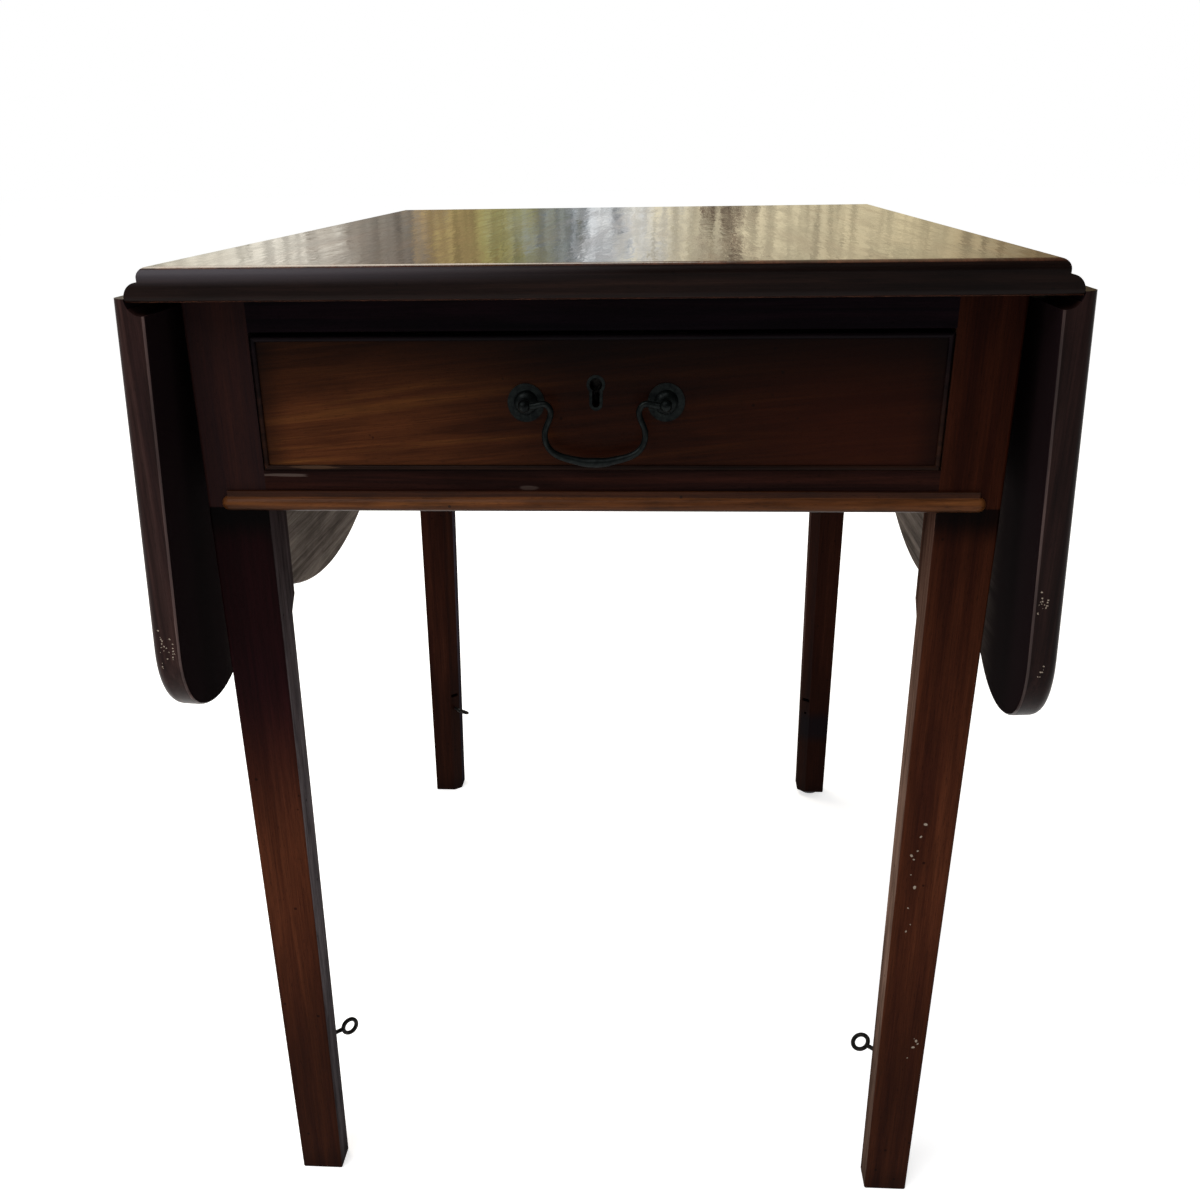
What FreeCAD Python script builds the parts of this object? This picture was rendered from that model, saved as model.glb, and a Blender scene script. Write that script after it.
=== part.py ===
"""Drop-leaf side table: rule-jointed leaves, an end drawer and square tapered legs.

X runs across the table, Y runs from the drawer end to the far end, Z is up.
The origin is on the floor, midway between the legs. Lengths are millimetres, angles are degrees.
"""
import FreeCAD
import Part
import math
import os

V = FreeCAD.Vector
ORIGIN = V(0, 0, 0)
ACROSS = V(1, 0, 0)
ALONG = V(0, 1, 0)
UP = V(0, 0, 1)
SIDES = {"left": -1, "right": 1}
ENDS = {"front": -1, "rear": 1}

# Overall sizes
height = 710.0
top_length = 846.0
end_overhang = 34.0             # top past the legs at each end
frieze_depth = 129.9
overrun = 1.0                   # how far a cutter runs past the face it cuts
same_share = 0.01               # of the overrun, within which two places count as one

# Rule joint between the fixed top and a leaf
pin_spacing = 534.4             # between the two lines of hinge pins
pin_overhang = 12.2             # hinge pins past the legs at each side
ovolo_radius = 9.2
ovolo_step = 8.2                # square step above the ovolo
pin_rise = 2.2                  # pin above the underside of the top
rule_gap = 0.4
top_arris = 6.0
top_end_lower_round = 3.5

# Leaves
leaf_reach = 277.5              # hinge pin to the crests of the shaped edge
leaf_corner = 52.0
leaf_lobe_place = 74.0          # crest of an end lobe from the leaf's end
leaf_lobe_radius = 107.0
leaf_dip_radius = 150.0
leaf_middle_radius = 500.0
leaf_upper_round = 7.0
leaf_lower_round = 2.5
leaf_hang_angle = 2.9           # a hanging leaf leans out from upright by this

# Table hinges, let in flush with the underside
hinge_place_shares = (-0.36, 0.0, 0.36)   # of the top's length
hinge_width = 44.0
hinge_middle = 18.0             # length of the leaf's own knuckle
hinge_top_reach = 30.0
hinge_leaf_reach = 62.0
hinge_plate = 2.0
knuckle_radius = 3.2
knuckle_gap = 0.4
hinge_pin_radius = 1.5
hinge_pin_play = 0.05

# Legs
leg_square = 40.0
leg_foot = 33.5
leg_toe_in = {"front": 2.2, "rear": -4.0}      # feet inside the frieze's line, across the table
leg_chamfer = 10.0
leg_arris = 1.6
leg_head_arris = 2.1
chamfer_stop_drop = 78.0        # below the frieze
tenon_length = 20.0
tenon_thickness = 9.0
tenon_shoulder = 3.0

# Old stretcher mortises and the eyes screwed in below them
scar_height = 136.0
scar_width = 11.0
scar_tall = 4.0
scar_deep = 8.0
eye_height = 118.0
eye_ring_radius = 6.3
eye_wire_radius = 1.75
eye_reach = 17.0                # leg face to the middle of the ring
eye_bite = 14.0                 # shank inside the leg
eye_turns = {("left", "front"): 0.0, ("right", "front"): 52.0, ("left", "rear"): 66.0}

# Glide nailed under the far right leg
glide_radius = 12.0
glide_height = 6.0
glide_rim = 2.0
glide_crown_share = 0.5         # of its radius, flat underneath
glide_nail_radius = 1.5
glide_nail_length = 14.0

# Rails
front_top_rail = 20.4
front_bottom_rail = 26.0
rear_rail_thickness = 22.0
inner_rail_thickness = 18.0
outer_rail_thickness = 20.0

# Fly bracket on a wooden knuckle, folded into the side frieze
fly_length = 210.0              # knuckle pin to tip
fly_knuckle_place = 40.0        # knuckle pin along the table
fly_fingers = 5
fly_gap = 0.4
fly_tip_height = 46.0
fly_straight_share = 0.42       # of its length, full depth before the ogee starts
fly_bow_share = 0.07            # of the ogee's run, how far each half bows
fly_end_gap = 3.0
fly_pin_radius = 3.0
fly_pin_play = 0.1

# Moulding under each end
mould_length = 490.0
mould_bead_radius = 4.8
mould_fillet_tall = 3.4
mould_fillet_proud = 2.6
mould_fillet_inset = 4.5        # fillet ends short of the bead

# Drawer
drawer_side_gap = 1.2
drawer_top_gap = 2.4
drawer_floor_gap = 0.3
drawer_length = 430.0
drawer_front_thickness = 20.0
drawer_side_thickness = 10.0
drawer_side_inset = 0.5
drawer_side_round = 2.0
drawer_back_thickness = 9.0
drawer_back_drop = 9.0          # back stands lower than the sides
drawer_panel = 7.0
drawer_panel_rise = 6.0
drawer_groove = 5.0
bead_width = 3.0
bead_depth = 8.0
bead_proud = 2.0
bead_round = 1.3
tail_length = 11.0
tail_root = 13.0
tail_flare = 2.5
tail_place_shares = (0.19, 0.5, 0.81)     # of the side's height

# Runners, kickers and stops inside the frame
runner_width = 20.0
runner_tall = 20.0
stop_width = 30.0
stop_depth = 14.0
stop_tall = 4.5
stop_place = 120.0
top_screw_radius = 2.5
top_screw_head = 4.5
top_screw_bite = 10.0
top_screw_place_shares = (-0.3, 0.05, 0.4)   # of the frame's length

# Swan-neck handle
handle_spacing = 87.0
handle_rise = 41.5              # above the bottom of the drawer opening
rosette_radius = 11.5
rosette_rim = 1.0
rosette_dome_radius = 7.5
rosette_dome = 4.2
rosette_swell_shares = (0.78, 0.72)       # of the dome's radius and height, its fullest place
post_radius = 2.4
post_ball_radius = 3.9
post_reach = 13.5               # drawer face to the bail's pivot
post_nut_radius = 5.0
post_nut_thick = 4.0
bail_radius = 2.1
bail_belly_radius = 3.1
bail_pin_radius = 1.6
bail_pin_play = 0.08
bail_pin_length = 4.6
bail_drop = 34.0
bail_bend_shares = ((0.8, -0.02), (0.70, -0.03), (0.63, 0.06), (0.64, 0.22), (0.705, 0.42), (0.71, 0.58),
                    (0.645, 0.76), (0.49, 0.89), (0.262, 0.965))   # of half the spacing, and of the drop
bail_even_share = 0.62          # of its half length, of one thickness before it swells

# Keyhole, its inlaid escutcheon and the lock behind it
keyhole_rise = 52.0             # head of the keyhole above the opening's bottom
keyhole_head_radius = 3.9
keyhole_slot = 4.6
keyhole_drop = 13.6             # head's middle to the bottom of the slot
escutcheon_wall = 1.8
escutcheon_depth = 4.0
escutcheon_proud = 0.3
lock_width = 60.0
lock_tall = 42.0
lock_thick = 8.5
lock_wall = 2.0
bolt_width = 18.0
bolt_thick = 4.0
bolt_tall = 24.0
bolt_throw = 7.0
bolt_gap = 0.3

# Places worked out from the sizes above
top_thickness = ovolo_step + ovolo_radius + pin_rise
under_z = height - top_thickness
pin_z = under_z + pin_rise
pin_x = pin_spacing / 2
frieze_z = under_z - frieze_depth
frame_length = top_length - 2 * end_overhang
frame_width = pin_spacing - 2 * pin_overhang
half_length = frame_length / 2
half_width = frame_width / 2
half_top = top_length / 2
inner_x = half_width - leg_square
inner_y = half_length - leg_square
face_y = -half_length
opening_low = frieze_z + front_bottom_rail
opening_high = under_z - front_top_rail
handle_z = opening_low + handle_rise
keyhole_z = opening_low + keyhole_rise
outer_rail_x = inner_x + inner_rail_thickness
outer_rail_span = (outer_rail_x, outer_rail_x + outer_rail_thickness)


def block(x, y, z):
    """A box between two values on each axis, given in either order."""
    low = V(min(x), min(y), min(z))
    return Part.makeBox(max(x) - min(x), max(y) - min(y), max(z) - min(z), low)


def rod(start, direction, radius, length):
    return Part.makeCylinder(radius, length, start, direction)


def prism(points, along):
    """A solid swept from a closed outline of corner points along a vector."""
    return Part.Face(Part.makePolygon(points + points[:1])).extrude(along)


def swept(edges, along):
    """A solid swept from a closed outline of edges along a vector."""
    return Part.Face(Part.Wire(edges)).extrude(along)


def line(start, end):
    return Part.LineSegment(start, end).toShape()


def arc(start, middle, end):
    return Part.Arc(start, middle, end).toShape()


def turned(points, start, direction):
    """A solid turned from a half outline of points about a line."""
    return Part.Face(Part.makePolygon(points + points[:1])).revolve(start, direction, 360)


def frustum(lower, upper):
    """A solid with flat faces between two outlines that have as many corners."""
    rings = [Part.makePolygon(ring + ring[:1]) for ring in (lower, upper)]
    return Part.makeLoft(rings, True, True)


def joined(shapes):
    return shapes[0].multiFuse(shapes[1:]).removeSplitter()


def across(shape):
    """The same piece for the other side of the table."""
    return shape.mirror(ORIGIN, ACROSS)


def across_point(point):
    return V(-point.x, point.y, point.z)


def endwise(shape):
    """The same piece for the other end of the table."""
    return shape.mirror(ORIGIN, ALONG)


def endwise_point(point):
    return V(point.x, -point.y, point.z)


def edges_where(shape, test):
    """Edges of a shape whose every point meets a test."""
    found = []
    for edge in shape.Edges:
        first, last = edge.ParameterRange
        points = [edge.valueAt(place) for place in (first, (first + last) / 2, last)]
        if all(test(point) for point in points):
            found.append(edge)
    return found


def near(a, b):
    return abs(a - b) < overrun * same_share


# Top and leaves

def hinge_places():
    return [top_length * share for share in hinge_place_shares]


def hinge_slots():
    """What the top loses to its right hinges: plate seats, knuckles and the plates' way down."""
    wide = (-hinge_width / 2 - knuckle_gap, hinge_width / 2 + knuckle_gap)
    room = knuckle_radius + knuckle_gap
    cuts = []
    for place in hinge_places():
        span = (place + wide[0], place + wide[1])
        seat = (place - hinge_width / 2, place + hinge_width / 2)
        plate_z = (under_z - overrun, under_z + hinge_plate)
        cuts.append(block((pin_x - hinge_top_reach, pin_x), seat, plate_z))
        cuts.append(rod(V(pin_x, span[0], pin_z), ALONG, room, span[1] - span[0]))
        cuts.append(block((pin_x - room, pin_x), span, (under_z - overrun, pin_z)))
        drop = (pin_x, pin_x + ovolo_radius + overrun)
        cuts.append(block(drop, span, (under_z - overrun, under_z + hinge_plate + knuckle_gap)))
    return cuts


def rule_edge(radius):
    """Half width from the pin line to where a rule joint's round of this radius meets the underside."""
    return math.sqrt(radius ** 2 - pin_rise ** 2)


def round_middle(radius, y):
    """Middle point of a rule joint's round on the right, at 45 degrees from the pin."""
    bulge = radius / math.sqrt(2)
    return V(pin_x + bulge, y, pin_z + bulge)


def make_top():
    """Fixed centre board, its long edges worked to the ovolo half of the rule joint."""
    y = -half_top
    foot = pin_x + rule_edge(ovolo_radius)
    step_z = height - ovolo_step
    corner, step, under = V(pin_x, y, height), V(pin_x, y, step_z), V(foot, y, under_z)
    right = [line(corner, step), arc(step, round_middle(ovolo_radius, y), under)]
    left = [across(edge) for edge in right]
    middle = [line(across_point(corner), corner), line(under, across_point(under))]
    outline = [middle[0]] + right + [middle[1]] + left[::-1]
    board = swept(outline, ALONG * top_length)
    board = board.makeFillet(top_arris, edges_where(board, lambda p: near(p.z, height)))
    lower_ends = edges_where(board, lambda p: near(p.z, under_z) and near(abs(p.y), half_top))
    board = board.makeFillet(top_end_lower_round, lower_ends)
    slots = hinge_slots()
    return board.cut(slots + [across(slot) for slot in slots])


def meeting_heart(first, first_reach, second, second_reach):
    """The place at two given distances from two others, on the side of the raised leaf's edge."""
    run = second - first
    along = (first_reach ** 2 - second_reach ** 2 + run.Length ** 2) / (2 * run.Length)
    ahead = V(run).normalize()
    aside = UP.cross(ahead) * math.sqrt(first_reach ** 2 - along ** 2)
    return first + ahead * along - aside


def leaf_plan(low_z):
    """Outline of the right leaf seen from above: two end lobes, two dips and a long middle curve."""
    crest_x = pin_x + leaf_reach
    lobe_y = half_top - leaf_lobe_place
    middle = V(crest_x - leaf_middle_radius, 0, low_z)
    lobe = V(crest_x - leaf_lobe_radius, -lobe_y, low_z)
    lobe_reach, middle_reach = leaf_lobe_radius + leaf_dip_radius, leaf_middle_radius + leaf_dip_radius
    dip = meeting_heart(lobe, lobe_reach, middle, middle_reach)
    corner_x = lobe.x + math.sqrt(leaf_lobe_radius ** 2 - leaf_lobe_place ** 2)
    corner = V(corner_x, -half_top, low_z)
    lobe_end = lobe + (dip - lobe).normalize() * leaf_lobe_radius
    dip_end = dip + (middle - dip).normalize() * leaf_dip_radius
    half = [arc(corner, V(crest_x, -lobe_y, low_z), lobe_end)]
    half.append(arc(lobe_end, V(dip.x - leaf_dip_radius, dip.y, low_z), dip_end))
    far = [endwise(edge) for edge in half]
    heel = V(pin_x - leaf_lobe_radius, -half_top, low_z)
    closing = [line(endwise_point(corner), endwise_point(heel)), line(endwise_point(heel), heel)]
    closing.append(line(heel, corner))
    middle_curve = arc(dip_end, V(crest_x, 0, low_z), endwise_point(dip_end))
    return half + [middle_curve] + far[::-1] + closing


def flat_leaf():
    """Right leaf as it lies when raised, before it is folded down."""
    y = -half_top
    cove = ovolo_radius + rule_gap
    lip_x = pin_x + rule_gap
    lip_z = pin_z + math.sqrt(cove ** 2 - rule_gap ** 2)
    edge_x = pin_x + leaf_reach + overrun
    heel = V(pin_x + rule_edge(cove), y, under_z)
    outline = [line(V(lip_x, y, height), V(edge_x, y, height))]
    outline.append(line(V(edge_x, y, height), V(edge_x, y, under_z)))
    outline.append(line(V(edge_x, y, under_z), heel))
    outline.append(arc(heel, round_middle(cove, y), V(lip_x, y, lip_z)))
    outline.append(line(V(lip_x, y, lip_z), V(lip_x, y, height)))
    board = swept(outline, ALONG * top_length)
    plan = swept(leaf_plan(under_z - overrun), UP * (top_thickness + 2 * overrun))
    board = board.common(plan).Solids[0]
    corners = edges_where(board, lambda p: near(abs(p.y), half_top) and p.x > pin_x + leaf_reach / 2)
    corners = [edge for edge in corners if near(edge.BoundBox.XLength, 0)]
    board = board.makeFillet(leaf_corner, corners)
    rim = edges_where(board, lambda p: near(p.z, height) and p.x > lip_x + rule_gap)
    rim += edges_where(board, lambda p: near(p.z, height) and near(abs(p.y), half_top))
    board = board.makeFillet(leaf_upper_round, unique(rim))
    rim = edges_where(board, lambda p: near(p.z, under_z) and p.x > heel.x + rule_gap)
    rim += edges_where(board, lambda p: near(p.z, under_z) and near(abs(p.y), half_top))
    board = board.makeFillet(leaf_lower_round, unique(rim))
    for place in hinge_places():
        seat = (place - hinge_width / 2, place + hinge_width / 2)
        plate_z = (under_z - overrun, under_z + hinge_plate)
        board = board.cut(block((pin_x, pin_x + hinge_leaf_reach), seat, plate_z))
    return board


def unique(edges):
    kept = []
    for edge in edges:
        if not any(edge.isSame(other) for other in kept):
            kept.append(edge)
    return kept


def hung(shape):
    """A raised right leaf's piece, swung down to where it hangs."""
    down = shape.copy()
    down.rotate(V(pin_x, 0, pin_z), ALONG, 90 - leaf_hang_angle)
    return down


def knuckle(place, low, high):
    return rod(V(pin_x, place + low, pin_z), ALONG, knuckle_radius, high - low)


def hinge_top_plate(place):
    """Plate under the fixed top, with the two outer knuckles."""
    half = hinge_width / 2
    room = knuckle_radius + knuckle_gap
    plate_z = (under_z, under_z + hinge_plate)
    pieces = [block((pin_x - hinge_top_reach, pin_x - room), (place - half, place + half), plate_z)]
    inner = hinge_middle / 2
    for low, high in ((-half, -inner), (inner, half)):
        pieces.append(block((pin_x - room - overrun, pin_x), (place + low, place + high), plate_z))
        pieces.append(knuckle(place, low, high))
    pin_hole = rod(V(pin_x, place - half, pin_z), ALONG, hinge_pin_radius, hinge_width)
    return joined(pieces).cut(pin_hole)


def hinge_leaf_plate(place):
    """Plate under the raised leaf, with the middle knuckle."""
    half = hinge_width / 2
    room = knuckle_radius + knuckle_gap
    plate_z = (under_z, under_z + hinge_plate)
    inner = hinge_middle / 2 - knuckle_gap
    pieces = [block((pin_x + room, pin_x + hinge_leaf_reach), (place - half, place + half), plate_z)]
    pieces.append(block((pin_x, pin_x + room + overrun), (place - inner, place + inner), plate_z))
    pieces.append(knuckle(place, -inner, inner))
    hole = rod(V(pin_x, place - half, pin_z), ALONG, hinge_pin_radius + hinge_pin_play, hinge_width)
    return joined(pieces).cut(hole)


def hinge_pin(place):
    return rod(V(pin_x, place - hinge_width / 2, pin_z), ALONG, hinge_pin_radius, hinge_width)


# Legs

def leg_size(z):
    """Width of a leg at a height: square in the frieze, tapering to the foot."""
    return leg_foot + (leg_square - leg_foot) * min(z / frieze_z, 1)


def leg_outer(end, z):
    """Middle of the table to a leg's outer side face at a height."""
    toe_in = leg_toe_in["front"] if end == ENDS["front"] else leg_toe_in["rear"]
    return half_width - toe_in * (1 - min(z / frieze_z, 1))


def leg_outline(side, end, z):
    x, y, size = side * leg_outer(end, z), end * half_length, leg_size(z)
    inner = V(x - side * size, y - end * size, z)
    return [V(x, y, z), V(inner.x, y, z), inner, V(x, inner.y, z)]


def corner_wedge(side, end, z, depth):
    """Three corners of the chamfer cutter at one height of the leg's inner corner."""
    inner = leg_outline(side, end, z)[2]
    start = inner - V(side, end, 0) * overrun
    reach = depth + 2 * overrun
    return [start, start + ACROSS * (side * reach), start + ALONG * (end * reach)]


def chamfer_place(side, end, z):
    """Middle of a leg's chamfered corner, and the way that it faces."""
    inner = leg_outline(side, end, z)[2]
    facing = V(-side, -end, 0).normalize()
    return inner + V(side, end, 0) * (leg_chamfer / 2), facing


def side_tenon(side, end):
    """Tenon of an inner side rail in a leg."""
    middle = inner_x + inner_rail_thickness / 2
    x = (side * (middle - tenon_thickness / 2), side * (middle + tenon_thickness / 2))
    y = (end * inner_y, end * (inner_y + tenon_length))
    return block(x, y, (frieze_z + tenon_shoulder, under_z - tenon_shoulder))


def end_tenons(side, end):
    """Tenons of an end's rails in a leg: two at the drawer end, one deep one at the far end."""
    x = (side * inner_x, side * (inner_x + tenon_length))
    near_face = half_length - tenon_shoulder
    y = (end * near_face, end * (near_face - tenon_thickness))
    if ENDS["front"] == end:
        spans = [(opening_high + tenon_shoulder, under_z - tenon_shoulder)]
        spans.append((frieze_z + tenon_shoulder, opening_low - tenon_shoulder))
    else:
        spans = [(frieze_z + tenon_shoulder, under_z - tenon_shoulder)]
    return [block(x, y, z) for z in spans]


def upright_edges(shape, corners):
    """Long edges of a leg that start from given corner points."""
    found = []
    for edge in shape.Edges:
        ends = [vertex.Point for vertex in edge.Vertexes]
        starts = any(near(point.distanceToPoint(corner), 0) for point in ends for corner in corners)
        if starts and edge.BoundBox.ZLength > leg_square:
            found.append(edge)
    return found


def make_leg(side_name, end_name):
    """Square leg, tapered on its two inner faces, with a stopped chamfer on the inner corner."""
    side, end = SIDES[side_name], ENDS[end_name]
    has_glide = (side_name, end_name) == ("right", "rear")
    foot_z = glide_height if has_glide else 0
    ring = leg_outline(side, end, foot_z)
    shaft = frustum(ring, leg_outline(side, end, frieze_z))
    worn = upright_edges(shaft, [ring[0], ring[1], ring[3]])
    worn += edges_where(shaft, lambda p: near(p.z, foot_z))
    shaft = shaft.makeFillet(leg_arris, worn)
    far = V(side * half_width, end * half_length, frieze_z)
    head = block((side * inner_x, far.x), (end * inner_y, far.y), (frieze_z, under_z))
    head = head.makeFillet(leg_head_arris, upright_edges(head, [far]))
    leg = joined([shaft, head])
    stop_z = frieze_z - chamfer_stop_drop
    low = corner_wedge(side, end, -overrun, leg_chamfer)
    stop = corner_wedge(side, end, stop_z, leg_chamfer)
    fade = corner_wedge(side, end, stop_z + leg_chamfer, 0)
    leg = leg.cut([frustum(low, stop), frustum(stop, fade)])
    leg = leg.cut([side_tenon(side, end)] + end_tenons(side, end))
    leg = leg.cut(stretcher_scar(side, end))
    middle, facing = chamfer_place(side, end, eye_height)
    leg = leg.cut(rod(middle - facing * eye_bite, facing, eye_wire_radius, eye_bite + leg_chamfer))
    if has_glide:
        leg = leg.cut(make_glide())
    return leg


def stretcher_scar(side, end):
    """Shallow mortise left on the chamfer by a lost stretcher."""
    middle, facing = chamfer_place(side, end, scar_height)
    sideways = UP.cross(facing) * (scar_width / 2)
    rise = UP * (scar_tall / 2)
    start = middle + facing * leg_chamfer
    ring = [start - sideways - rise, start + sideways - rise]
    ring += [start + sideways + rise, start - sideways + rise]
    return prism(ring, facing * -(leg_chamfer + scar_deep))


def make_eye(side_name, end_name):
    """Screw eye: an iron ring on a shank driven into the leg's chamfered corner."""
    middle, facing = chamfer_place(SIDES[side_name], ENDS[end_name], eye_height)
    centre = middle + facing * eye_reach
    ring = Part.makeTorus(eye_ring_radius, eye_wire_radius, centre, UP.cross(facing))
    ring.rotate(centre, facing, eye_turns[side_name, end_name])
    shank = rod(middle - facing * eye_bite, facing, eye_wire_radius, eye_bite + eye_reach - eye_ring_radius)
    return joined([ring, shank])


def make_glide():
    """Domed glide and its nail, turned about the middle of the foot."""
    x, y = leg_outer(1, 0) - leg_size(0) / 2, half_length - leg_size(0) / 2
    dome_z = glide_height - glide_rim
    flat, rim = V(x + glide_radius * glide_crown_share, y, 0), V(x + glide_radius, y, dome_z)
    run = rim.x - flat.x
    dome_radius = (run ** 2 + dome_z ** 2) / (2 * dome_z)
    half_turn = math.atan2(run, dome_radius - dome_z) / 2
    swell = flat + V(math.sin(half_turn), 0, 1 - math.cos(half_turn)) * dome_radius
    nail_x, nail_z = x + glide_nail_radius, glide_height + glide_nail_length
    corners = [rim, V(rim.x, y, glide_height), V(nail_x, y, glide_height), V(nail_x, y, nail_z)]
    corners += [V(x, y, nail_z), V(x, y, 0), flat]
    outline = [arc(flat, swell, rim)] + [line(a, b) for a, b in zip(corners, corners[1:])]
    return Part.Face(Part.Wire(outline)).revolve(V(x, y, 0), UP, 360)


# Frame rails

def make_front_rail(z):
    rail = block((-inner_x, inner_x), (-half_length, -inner_y), z)
    tenons = [tip for side in (-1, 1) for tip in end_tenons(side, -1)]
    own = [tip for tip in tenons if z[0] < tip.CenterOfMass.z < z[1]]
    return joined([rail] + own)


def make_rear_rail():
    rail = block((-inner_x, inner_x), (half_length - rear_rail_thickness, half_length), (frieze_z, under_z))
    rail = joined([rail] + [tip for side in (-1, 1) for tip in end_tenons(side, 1)])
    return rail.cut([endwise(post) for post in make_posts(rear_rail_thickness)] + [dummy_groove()])


def make_inner_rail():
    """Right inner side rail, tenoned into both legs."""
    rail = block((inner_x, outer_rail_x), (-inner_y, inner_y), (frieze_z, under_z))
    return joined([rail, side_tenon(1, -1), side_tenon(1, 1)])


# Fly bracket in the right side frieze

fly_axis_x = outer_rail_x + outer_rail_thickness / 2
fly_barrel = outer_rail_thickness / 2 - fly_gap
finger_tall = frieze_depth / fly_fingers


def fly_outline(shift):
    """Edges of the fly's side view, moved towards its tip and down by a shift."""
    x = outer_rail_x + fly_gap
    root_y = fly_knuckle_place - fly_barrel - fly_gap - shift
    tip_y = fly_knuckle_place - fly_length - shift
    curve_y = fly_knuckle_place - fly_length * fly_straight_share - shift
    top_z = under_z - fly_gap
    low_z = frieze_z - shift
    tip_z = top_z - fly_tip_height - shift
    mid = V(x, (curve_y + tip_y) / 2, (low_z + tip_z) / 2)
    start, tip = V(x, curve_y, low_z), V(x, tip_y, tip_z)
    bow = V(0, -(tip_z - low_z), tip_y - curve_y) * fly_bow_share
    lower = arc(start, (start + mid) / 2 + bow, mid)
    upper = arc(mid, (mid + tip) / 2 - bow, tip)
    corners = [tip, V(x, tip_y, top_z), V(x, root_y, top_z), V(x, root_y, low_z), start]
    return [lower, upper] + [line(a, b) for a, b in zip(corners, corners[1:])]


def finger_levels(odd):
    """Heights of the knuckle fingers: the fly has the odd ones, its rail the others."""
    levels = [i for i in range(fly_fingers) if i % 2 == odd]
    return [(frieze_z + i * finger_tall, frieze_z + (i + 1) * finger_tall) for i in levels]


def fingers(odd, reach_y, gap):
    """Round-nosed fingers of one half of the knuckle, back to where they join their board."""
    pieces = []
    for low, high in finger_levels(odd):
        z = (low + gap, high - gap)
        x = (fly_axis_x - fly_barrel, fly_axis_x + fly_barrel)
        pieces.append(rod(V(fly_axis_x, fly_knuckle_place, z[0]), UP, fly_barrel, z[1] - z[0]))
        pieces.append(block(x, (fly_knuckle_place, reach_y), z))
    return pieces


def fly_pin_hole(play):
    return rod(V(fly_axis_x, fly_knuckle_place, frieze_z), UP, fly_pin_radius + play, frieze_depth)


def make_fly():
    board = swept(fly_outline(0), ACROSS * (outer_rail_thickness - 2 * fly_gap))
    root_y = fly_knuckle_place - fly_barrel - fly_gap - overrun
    return joined([board] + fingers(1, root_y, fly_gap)).cut(fly_pin_hole(fly_pin_play))


def make_fly_rail():
    """Fixed rear half of the outer rail, which carries the knuckle."""
    root_y = fly_knuckle_place + fly_barrel + fly_gap
    rail = block(outer_rail_span, (root_y, inner_y), (frieze_z, under_z))
    return joined([rail] + fingers(0, root_y + overrun, 0)).cut(fly_pin_hole(0))


def make_fly_stop():
    """Fixed front half of the outer rail, cut to the fly's ogee."""
    curve_y = fly_knuckle_place - fly_length * fly_straight_share - fly_end_gap
    rail = block(outer_rail_span, (-inner_y, curve_y), (frieze_z, under_z))
    room = swept(fly_outline(fly_end_gap), ACROSS * outer_rail_thickness)
    room.translate(ACROSS * -fly_gap)
    above = room.copy()
    above.translate(UP * (fly_end_gap + fly_gap))
    return rail.cut([room, above])


# Mouldings

def make_moulding():
    """Astragal along the bottom of the front: round-ended bead under a narrow fillet."""
    bead_half = mould_length / 2 - mould_bead_radius
    bead_z = frieze_z + mould_bead_radius
    low, high = V(-bead_half, face_y, frieze_z), V(-bead_half, face_y, frieze_z + 2 * mould_bead_radius)
    nose = V(-bead_half, face_y - mould_bead_radius, bead_z)
    half_round = Part.Face(Part.Wire([arc(low, nose, high), line(high, low)]))
    bead = half_round.extrude(ACROSS * (2 * bead_half))
    end = half_round.revolve(low, UP, -90)
    fillet_half = mould_length / 2 - mould_fillet_inset
    fillet_z = (bead_z, frieze_z + 2 * mould_bead_radius + mould_fillet_tall)
    fillet = block((-fillet_half, fillet_half), (face_y - mould_fillet_proud, face_y), fillet_z)
    return joined([bead, end, across(end), fillet])


# Drawer

front_half = inner_x - drawer_side_gap
front_low = opening_low + drawer_floor_gap
front_high = opening_high - drawer_top_gap
front_back_y = face_y + drawer_front_thickness
side_half = front_half - drawer_side_inset
side_high = front_high - bead_width
drawer_end_y = face_y + drawer_length
panel_low = front_low + drawer_panel_rise
bead_y = (face_y - bead_proud, face_y + bead_depth)


def front_block(y):
    """The drawer front's full height and width, between two Y planes."""
    return block((-front_half, front_half), y, (front_low, front_high))


def front_core(y):
    """What the cock bead goes round, between two Y planes."""
    x = (bead_width - front_half, front_half - bead_width)
    return block(x, y, (front_low + bead_width, front_high - bead_width))


def cock_beads():
    """Four strips of round-nosed cock bead about the drawer front, mitred at its corners."""
    nose_y, back_y = bead_y
    ring = front_block(bead_y).cut(front_core((nose_y - overrun, back_y + overrun)))
    ring = ring.makeFillet(bead_round, edges_where(ring, lambda p: near(p.y, nose_y)))
    middle, rise = (front_low + front_high) / 2, (front_high - front_low) / 2
    y = nose_y - overrun
    low = [V(-front_half, y, front_low), V(front_half, y, front_low)]
    high = [V(-front_half, y, front_high), V(front_half, y, front_high)]
    heart = [V(rise - front_half, y, middle), V(front_half - rise, y, middle)]
    shapes = {"bottom": low + heart[::-1], "right": [low[1], high[1], heart[1]],
              "top": high[::-1] + heart, "left": [high[0], low[0], heart[0]]}
    depth = ALONG * (back_y - nose_y + 2 * overrun)
    return {name: ring.common(prism(points, depth)) for name, points in shapes.items()}


def drawer_beads():
    strips = cock_beads()
    strips["top"] = strips["top"].cut(bolt_way())
    return strips


def dummy_beads():
    """Cock bead let into the far rail, as if round a second drawer."""
    return [endwise(strip) for strip in cock_beads().values()]


def dummy_groove():
    groove = front_block((face_y - overrun, bead_y[1]))
    return endwise(groove.cut(front_core((face_y - 2 * overrun, bead_y[1] + overrun))))


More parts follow.
